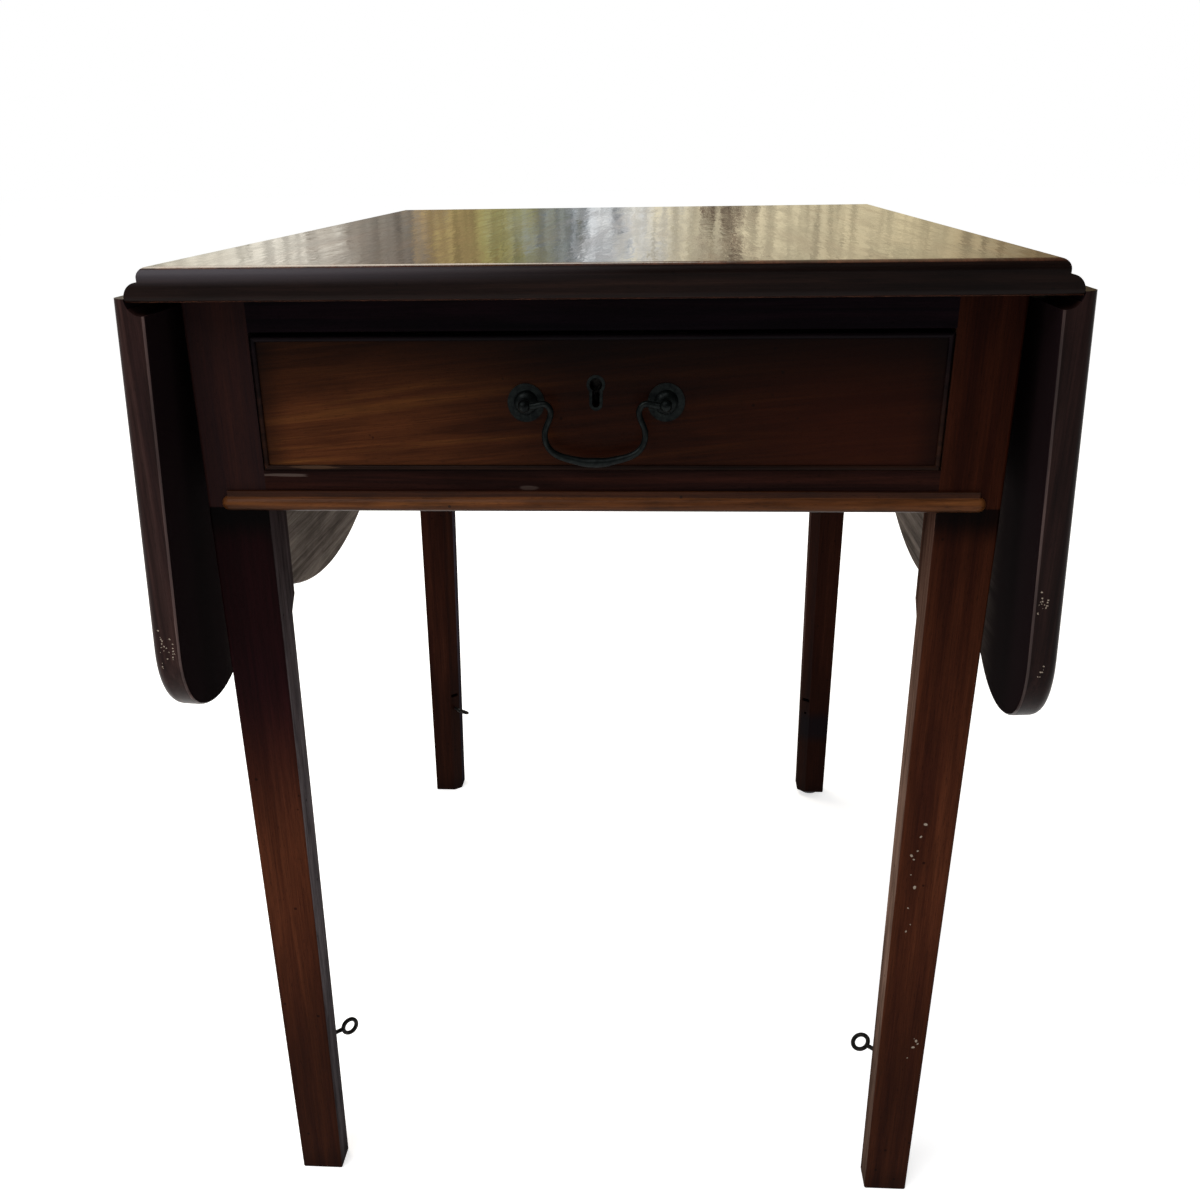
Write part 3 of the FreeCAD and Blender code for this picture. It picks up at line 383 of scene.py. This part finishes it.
def bare_finish():
    """Side rails behind the leaves: never polished, grey with dust."""
    wood = Timber("Side rail wood, bare", Y, ("30261f", "40342b", "504238"), 6.0)
    wood.patina(40.0, 140.0, 0.35)
    return wood.finish(0.85, 0.05)


# Metal and paint finishes

def old_metal(name, dark, light, rough, worn):
    """Metal dulled by age: dark skin with paler rubbed places, so that edges and balls still glint."""
    skin = Finish(name)
    blotch = skin.streaks(3.0, 3.0, 4.0, 0.65)
    stops = [(0.35, tone(dark)), (0.68, tone(light))]
    skin.colour = add(skin.tree, "ShaderNodeValToRGB", {"Fac": blotch}, stops).outputs["Color"]
    gloss = add(skin.tree, "ShaderNodeMapRange", {
        "Value": blotch, "From Min": 0.2, "From Max": 0.8,
        "To Min": rough * 1.25, "To Max": rough * 0.75}, interpolation_type=EASED)
    pits = add(skin.tree, "ShaderNodeBump", {
        "Height": skin.streaks(0.8, 0.8, 3.0, 0.6), "Distance": 0.15 * MM, "Strength": 0.3})
    return skin.close({"Metallic": worn, "Roughness": gloss.outputs["Result"],
                       "Normal": pits.outputs["Normal"], "Specular IOR Level": 0.15})


def old_paint():
    """Old white paint, yellowed: matt and slightly dirty."""
    paint = Finish("Paint drops, yellowed white")
    paint.colour = tone("6a5d50")
    paint.tint(tone("ad9f90"), 1.0, paint.streaks(1.2, 1.2, 3.0))
    return paint.close({"Roughness": 0.8, "Specular IOR Level": 0.1})


FINISHES = {
    "top": top_finish(),
    "top end": top_end_finish(),
    "leaf": leaf_finish(),
    "leaf edge": edge_finish("Leaf edge, dark polish", Z, ("1f1212", "2c1b19", "3a2724"), 0.05),
    # Painted highlight along the leaves' lower arris, over pale rubbed wear.
    "leaf arris": edge_finish("Leaf arris, rubbed pale, painted highlight", Z, ("3a2a28", "523f3c", "685450"), 0.15),
    "leaf underside": underside_finish(),
    "leg": leg_finish(),
    "leg inside": leg_inside_finish(),
    "rail": rail_finish("Rail mahogany, darkened", ("120807", "1f0e0b", "2e1610"), 0.5, 0.02),
    "moulding": moulding_finish(),
    "bead": rail_finish("Cock bead mahogany, blackened", ("140a07", "20110b", "301b12"), 0.4, 0.04),
    "drawer": drawer_finish(),
    "bare": bare_finish(),
    "lining along": lining_finish("Drawer side oak, planed", Y),
    "lining across": lining_finish("Drawer bottom oak, planed", X),
    "brass": old_metal("Brass, black with age", "06090a", "151918", 0.4, 0.7),
    "iron": old_metal("Iron, blackened", "0d0c0c", "2b2826", 0.5, 0.7),
    "glide": old_metal("Steel glide, worn", "3a3a3c", "77777a", 0.38, 0.9),
}


# Which piece has which finish

def finish_of(name):
    if name == "top_board":
        return "top"
    if name in ("left_leaf", "right_leaf"):
        return "leaf"
    if name.endswith("_leg"):
        return "leg"
    if name.endswith("moulding"):
        return "moulding"
    if name.startswith(("inner_side_rail", "fly_bracket", "fly_rail", "fly_stop")):
        return "bare"
    if name in ("front_top_rail", "front_bottom_rail"):
        return "rail"
    if name.startswith(("cock_bead", "dummy_drawer")):
        return "bead"
    if name in ("rear_rail", "drawer_front"):
        return "drawer"
    if name in ("drawer_back", "drawer_bottom", "drawer_stops"):
        return "lining across"
    if name.startswith("drawer_"):
        return "lining along"
    if "handle" in name or name == "escutcheon":
        return "brass"
    if name == "rear_right_glide":
        return "glide"
    return "iron"


def top_face(way, side):
    if way.z < -0.95:
        return "bare"
    return "top end" if abs(way.y) > 0.6 or abs(way.x) > 0.5 else "top"


def leaf_face(way, side):
    out = way.x * side
    if out < -0.8:
        return "leaf underside"
    if out < -0.3 and abs(way.y) > 0.3:
        return "leaf arris"
    return "leaf" if out > 0.8 else "leaf edge"


def leg_face(way, side):
    return "leg inside" if way.x * side < -0.9 else "leg"


FACE_FINISHES = {"top": top_face, "leaf": leaf_face, "leg": leg_face}


def dress(piece, name):
    """Gives a piece its finish; boards and legs get another one on their ends and inner faces."""
    piece.data.materials.clear()
    main = finish_of(name)
    choose = FACE_FINISHES.get(main)
    if not choose:
        piece.data.materials.append(FINISHES[main])
        return
    side = 1 if sum(corner[0] for corner in piece.bound_box) > 0 else -1
    wanted = [choose(face.normal, side) for face in piece.data.polygons]
    names = sorted(set(wanted))
    for finish in names:
        piece.data.materials.append(FINISHES[finish])
    for face, finish in zip(piece.data.polygons, wanted):
        face.material_index = names.index(finish)


for piece_name, piece in pieces.items():
    dress(piece, piece_name)


# Small pieces that repeat, set out by node trees and kept as plain meshes

def mesh_object(name, corners, faces):
    mesh = bpy.data.meshes.new(name)
    mesh.from_pydata(corners, [], faces)
    made = bpy.data.objects.new(name, mesh)
    scene.collection.objects.link(made)
    return made


def stamp_tree(name, scattered):
    """Tree that sets a stamp on every corner of a mesh, or scatters it over its faces."""
    tree = bpy.data.node_groups.new(name, "GeometryNodeTree")
    face = tree.interface
    sockets = [("Geometry", "NodeSocketGeometry"), ("Stamp", "NodeSocketObject"),
               ("Finish", "NodeSocketMaterial"), ("Smallest", "NodeSocketFloat"),
               ("Largest", "NodeSocketFloat"), ("Per square metre", "NodeSocketFloat"),
               ("Seed", "NodeSocketInt")]
    for socket, kind in sockets:
        face.new_socket(socket, in_out="INPUT", socket_type=kind)
    face.new_socket("Geometry", in_out="OUTPUT", socket_type="NodeSocketGeometry")
    given = add(tree, "NodeGroupInput").outputs
    if scattered:
        spread = add(tree, "GeometryNodeDistributePointsOnFaces", {
            "Mesh": given["Geometry"], "Density": given["Per square metre"], "Seed": given["Seed"]})
        points, turn = spread.outputs["Points"], spread.outputs["Rotation"]
    else:
        points = add(tree, "GeometryNodeMeshToPoints", {"Mesh": given["Geometry"]}).outputs["Points"]
        way = add(tree, "GeometryNodeInputNamedAttribute", {"Name": "way"}, data_type="FLOAT_VECTOR")
        facing = {"Vector": way.outputs["Attribute"]}
        turn = add(tree, "FunctionNodeAlignRotationToVector", facing, axis="Z").outputs["Rotation"]
    stamp = add(tree, "GeometryNodeObjectInfo", {"Object": given["Stamp"]}).outputs["Geometry"]
    span = {2: given["Smallest"], 3: given["Largest"], "Seed": given["Seed"]}
    size = add(tree, "FunctionNodeRandomValue", span, data_type="FLOAT").outputs[1]
    placed = add(tree, "GeometryNodeInstanceOnPoints", {
        "Points": points, "Instance": stamp, "Rotation": turn, "Scale": size})
    whole_turn = (0.0, 0.0, 6.28)
    round_the_way = {0: (0.0, 0.0, 0.0), 1: whole_turn, "Seed": given["Seed"]}
    spin = add(tree, "FunctionNodeRandomValue", round_the_way, data_type="FLOAT_VECTOR").outputs[0]
    turned = add(tree, "GeometryNodeRotateInstances", {
        "Instances": placed.outputs["Instances"], "Rotation": spin})
    real = add(tree, "GeometryNodeRealizeInstances", {"Geometry": turned.outputs["Instances"]})
    dressed = add(tree, "GeometryNodeSetMaterial", {
        "Geometry": real.outputs["Geometry"], "Material": given["Finish"]})
    add(tree, "NodeGroupOutput", {"Geometry": dressed.outputs["Geometry"]})
    return tree


def stamped(base, tree, stamp, finish, body, seed, sizes=(1.0, 1.0), density=0.0):
    """Runs a stamp tree on a base mesh, keeps its result as a plain mesh and lets it ride a body."""
    values = {"Stamp": stamp, "Finish": finish, "Smallest": sizes[0], "Largest": sizes[1],
              "Per square metre": density, "Seed": seed}
    modifier = base.modifiers.new("stamp", "NODES")
    modifier.node_group = tree
    for item in tree.interface.items_tree:
        if item.in_out == "INPUT" and item.name in values:
            modifier[item.identifier] = values[item.name]
    shaped = base.evaluated_get(bpy.context.evaluated_depsgraph_get())
    mesh = bpy.data.meshes.new_from_object(shaped)
    base.modifiers.clear()
    base.data = mesh
    base.data.materials.clear()
    base.data.materials.append(finish)
    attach(base, body)


def screw_head():
    """Slotted head: two half rounds with the slot between them, over a thin round."""
    corners, faces = [], []

    def slab(ring, low, high):
        start = len(corners)
        count = len(ring)
        corners.extend([(x, y, low) for x, y in ring] + [(x, y, high) for x, y in ring])
        faces.append([start + i for i in range(count)][::-1])
        faces.append([start + count + i for i in range(count)])
        for i in range(count):
            after = (i + 1) % count
            faces.append([start + i, start + after, start + count + after, start + count + i])

    def arc(start, end, steps):
        turns = [start + (end - start) * i / steps for i in range(steps + 1)]
        return [(radius * math.cos(turn), radius * math.sin(turn)) for turn in turns]

    radius, half_slot = 3.4 * MM, 0.45 * MM
    slot_floor, height = 0.1 * MM, 0.5 * MM
    slab(arc(0.0, 2 * math.pi, 28)[:-1], 0.0, slot_floor)
    low = math.asin(half_slot / radius)
    half = arc(low, math.pi - low, 14)
    slab(half, slot_floor, height)
    slab([(-x, -y) for x, y in half], slot_floor, height)
    return mesh_object("screw_head_stamp", corners, faces)


def hung(reach, y, side):
    """Place on the underside of a hanging leaf, a reach from its pin, and the way that it faces."""
    drop = UNDER_Z - PIN_Z
    x = PIN_X + reach * math.cos(HANG) + drop * math.sin(HANG)
    z = PIN_Z - reach * math.sin(HANG) + drop * math.cos(HANG)
    return (side * x, y, z), (-side * math.sin(HANG), 0.0, -math.cos(HANG))


def pointed_mesh(name, places):
    """Loose corners, each with the way that its stamp faces."""
    made = mesh_object(name, [place for place, _ in places], [])
    ways = made.data.attributes.new("way", "FLOAT_VECTOR", "POINT")
    for item, (_, way) in zip(ways.data, places):
        item.vector = way
    return made


def make_hinge_screws():
    """Screws of the table hinges: four in each leaf plate and two in each top plate."""
    tree = stamp_tree("Set out screws", False)
    head = screw_head()
    iron = FINISHES["iron"]
    leaf_reaches, top_reach, aside = (0.02, 0.05), 0.017, 0.013
    for side, name in ((-1, "left"), (1, "right")):
        leaf, top = [], []
        for place in HINGE_PLACES:
            rows = (place - aside, place + aside)
            leaf += [hung(reach, y, side) for reach in leaf_reaches for y in rows]
            top += [((side * (PIN_X - top_reach), y, UNDER_Z), (0.0, 0.0, -1.0)) for y in rows]
        in_leaf = pointed_mesh(f"{name}_leaf_hinge_screws", leaf)
        stamped(in_leaf, tree, head, iron, f"{name}_leaf", seed=3)
        in_top = pointed_mesh(f"{name}_top_hinge_screws", top)
        stamped(in_top, tree, head, iron, "frame", seed=5)
    bpy.data.objects.remove(head)


def paint_drop():
    """Flat drop of paint, thickest in its middle and not quite round."""
    ring = 10
    corners = [(0.0, 0.0, 0.08 * MM)]
    for radius, rise in ((0.6, 0.06), (1.0, 0.0)):
        for i in range(ring):
            turn = 2 * math.pi * i / ring
            wide = radius * MM * (1 + 0.22 * math.sin(2 * turn) + 0.1 * math.sin(5 * turn))
            corners.append((wide * math.cos(turn), wide * math.sin(turn), rise * MM))
    faces = []
    for i in range(ring):
        after = (i + 1) % ring
        faces += [(0, 1 + i, 1 + after), (1 + i, 1 + ring + i, 1 + ring + after, 1 + after)]
    faces.append([1 + ring + i for i in range(ring)][::-1])
    return mesh_object("paint_drop_stamp", corners, faces)


def make_paint_drops():
    """Spatters on the right front leg, on the right leaf's end and low on the left leaf's end."""
    tree = stamp_tree("Scatter paint", True)
    drop, paint = paint_drop(), old_paint()
    legs = [(1, ((0.2215, 0.225), (0.2300, 0.225), (0.2330, 0.345), (0.2225, 0.345)), 9000.0),
            (2, ((0.2400, 0.125), (0.2480, 0.125), (0.2480, 0.165), (0.2400, 0.165)), 17000.0)]
    for number, outline, density in legs:
        corners = [(x, LEG_FRONT_Y, z) for x, z in outline]
        patch = mesh_object(f"paint_drops_on_right_leg_{number}", corners, [(0, 1, 2, 3)])
        stamped(patch, tree, drop, paint, "frame", seed=10 + number,
                sizes=(0.35, 1.3), density=density)
    leaves = [("right", 1, (0.2775, 0.2830), (0.505, 0.520), 190000.0),
              ("right", 2, (0.2835, 0.2875), (0.462, 0.472), 150000.0),
              ("left", 1, (-0.2900, -0.2800), (0.462, 0.490), 90000.0)]
    for name, number, (x0, x1), (z0, z1), density in leaves:
        corners = [(x, LEAF_END_Y, z) for x, z in ((x0, z0), (x1, z0), (x1, z1), (x0, z1))]
        patch = mesh_object(f"paint_scuffs_on_{name}_leaf_{number}", corners, [(0, 1, 2, 3)])
        stamped(patch, tree, drop, paint, f"{name}_leaf", seed=23 + number,
                sizes=(0.2, 0.6), density=density)
    bpy.data.objects.remove(drop)


make_hinge_screws()
make_paint_drops()


# Stage: pale floor, white surround, soft light

def stage_material():
    """Pale floor: keeps the table's shadow, and is lifted to white where it is seen or mirrored."""
    material = bpy.data.materials.new("Pale floor")
    material.use_nodes = True
    tree = material.node_tree
    tree.nodes.clear()
    ray = add(tree, "ShaderNodeLightPath").outputs
    seen = ray["Is Camera Ray"]
    for kind in ("Is Glossy Ray", "Is Transmission Ray"):
        seen = add(tree, "ShaderNodeMath", {0: seen, 1: ray[kind]}, operation="MAXIMUM").outputs["Value"]
    glow_to_white = 0.62
    lift = add(tree, "ShaderNodeMath", {0: seen, 1: glow_to_white}, operation="MULTIPLY").outputs["Value"]
    paint = add(tree, "ShaderNodeBsdfDiffuse", {"Color": grey(0.85)})
    glow = add(tree, "ShaderNodeEmission", {"Color": grey(1.0), "Strength": lift})
    both = add(tree, "ShaderNodeAddShader", {0: paint.outputs["BSDF"], 1: glow.outputs["Emission"]})
    add(tree, "ShaderNodeOutputMaterial", {"Surface": both.outputs["Shader"]})
    return material


def make_floor():
    bpy.ops.mesh.primitive_plane_add(size=60.0, location=(0, 0, 0))
    floor = bpy.context.object
    floor.name = "floor"
    floor.data.materials.append(stage_material())


# Bands of the wall that the polish mirrors, by place from left to right
WALL_BANDS = (
    (0.10, "8a7a5c"), (0.15, "fbf5e0"), (0.26, "fff9ea"), (0.28, "a39a8c"),
    (0.32, "8f8a80"), (0.34, "b49a6c"), (0.385, "a8a468"), (0.43, "8c979c"),
    (0.455, "f6fafc"), (0.50, "efe6ca"), (0.525, "e2d6b4"), (0.533, "66564a"),
    (0.543, "66564a"), (0.552, "e4d8b6"), (0.67, "dfd0a8"), (0.77, "806a48"))


def make_world():
    """White surround; the polish mirrors a bright banded wall beyond the table, and dimness before it."""
    world = bpy.data.worlds.new("White surround")
    scene.world = world
    world.use_nodes = True
    tree = world.node_tree
    tree.nodes.clear()
    ray = add(tree, "ShaderNodeLightPath").outputs
    way = add(tree, "ShaderNodeTexCoord").outputs["Generated"]
    axes = add(tree, "ShaderNodeSeparateXYZ", {"Vector": way}).outputs
    patterns = []
    for scale, detail, rough in (((60.0, 4.0, 30.0), 4.0, 0.7), ((190.0, 4.0, 14.0), 2.0, 0.6)):
        spread = add(tree, "ShaderNodeMapping", {"Vector": way, "Scale": scale}).outputs["Vector"]
        pattern = {"Vector": spread, "Scale": 1.0, "Detail": detail, "Roughness": rough}
        patterns.append(add(tree, "ShaderNodeTexNoise", pattern).outputs["Fac"])
    clouds, strands = patterns
    sway = add(tree, "ShaderNodeMapRange", {
        "Value": clouds, "From Min": 0.2, "From Max": 0.8, "To Min": 0.46, "To Max": 0.54},
        interpolation_type=EASED)
    across = add(tree, "ShaderNodeMath", {0: axes[X], 1: sway.outputs["Result"]}, operation="ADD")
    stops = [(place, tone(code)) for place, code in WALL_BANDS]
    wall = add(tree, "ShaderNodeValToRGB", {"Fac": across.outputs["Value"]}, stops).outputs["Color"]
    for pattern, low, high, light in ((clouds, 0.35, 0.58, 1.1), (strands, 0.36, 0.56, 1.15)):
        stops = [(low, grey(0.35)), (high, grey(light))]
        uneven = add(tree, "ShaderNodeValToRGB", {"Fac": pattern}, stops).outputs["Color"]
        wall = add(tree, "ShaderNodeMix", {FACTOR: 0.6, FIRST: wall, SECOND: uneven},
                   data_type="RGBA", blend_type="MULTIPLY").outputs[MIXED]
    beyond = add(tree, "ShaderNodeMapRange", {"Value": axes[Y], "From Min": -0.1, "From Max": 0.35},
                 interpolation_type=EASED).outputs["Result"]
    seen = add(tree, "ShaderNodeMath", {0: ray["Is Camera Ray"], 1: ray["Is Transmission Ray"]},
               operation="MAXIMUM").outputs["Value"]
    mirrored = add(tree, "ShaderNodeMix", {FACTOR: beyond, FIRST: grey(0.03), SECOND: wall},
                   data_type="RGBA").outputs[MIXED]
    glossy = ray["Is Glossy Ray"]
    colour = add(tree, "ShaderNodeMix", {FACTOR: glossy, FIRST: grey(0.45), SECOND: mirrored},
                 data_type="RGBA").outputs[MIXED]
    colour = add(tree, "ShaderNodeMix", {FACTOR: seen, FIRST: colour, SECOND: grey(1.0)},
                 data_type="RGBA").outputs[MIXED]
    sky = add(tree, "ShaderNodeBackground", {"Color": colour, "Strength": 1.0})
    add(tree, "ShaderNodeOutputWorld", {"Surface": sky.outputs["Background"]})


def soft_light(name, place, target, size, power, colour):
    lamp = bpy.data.lights.new(name, "AREA")
    lamp.size = size
    lamp.energy = power
    lamp.color = tone(colour)[:3]
    light = bpy.data.objects.new(name, lamp)
    scene.collection.objects.link(light)
    light.location = place
    light.rotation_euler = (Vector(target) - Vector(place)).to_track_quat("-Z", "Y").to_euler()


def make_camera():
    """Camera at the photograph's place, found by fitting edges: 39 mm lens on a 36 mm square frame."""
    data = bpy.data.cameras.new("camera")
    data.sensor_width = 36.0
    data.lens = 39.217
    data.shift_x = 0.02523
    data.shift_y = 0.19089
    camera = bpy.data.objects.new("camera", data)
    scene.collection.objects.link(camera)
    place = (0.045657, -1.2290935, 0.7653901)
    yaw, pitch, roll = -0.0786, 0.4771, -0.0159
    up = Vector((0, 0, 1))
    ahead = Vector((math.sin(yaw), math.cos(yaw), 0))
    right = Vector((math.cos(yaw), -math.sin(yaw), 0))
    view = ahead * math.cos(pitch) - up * math.sin(pitch)
    above = up * math.cos(pitch) + ahead * math.sin(pitch)
    side = right * math.cos(roll) + above * math.sin(roll)
    crown = above * math.cos(roll) - right * math.sin(roll)
    turn = Matrix((side, crown, -view)).transposed().to_4x4()
    camera.matrix_world = Matrix.Translation(place) @ turn
    scene.camera = camera


make_floor()
make_world()
soft_light("Window light", place=(-1.2, 1.9, 3.5), target=(0, 0, 0.5),
           size=2.4, power=75.0, colour="fff4e2")
soft_light("Front light", place=(-1.5, -2.0, 3.0), target=(0, 0, 0.45),
           size=2.8, power=84.0, colour="ffffff")
make_camera()
scene.view_settings.view_transform = "Standard"
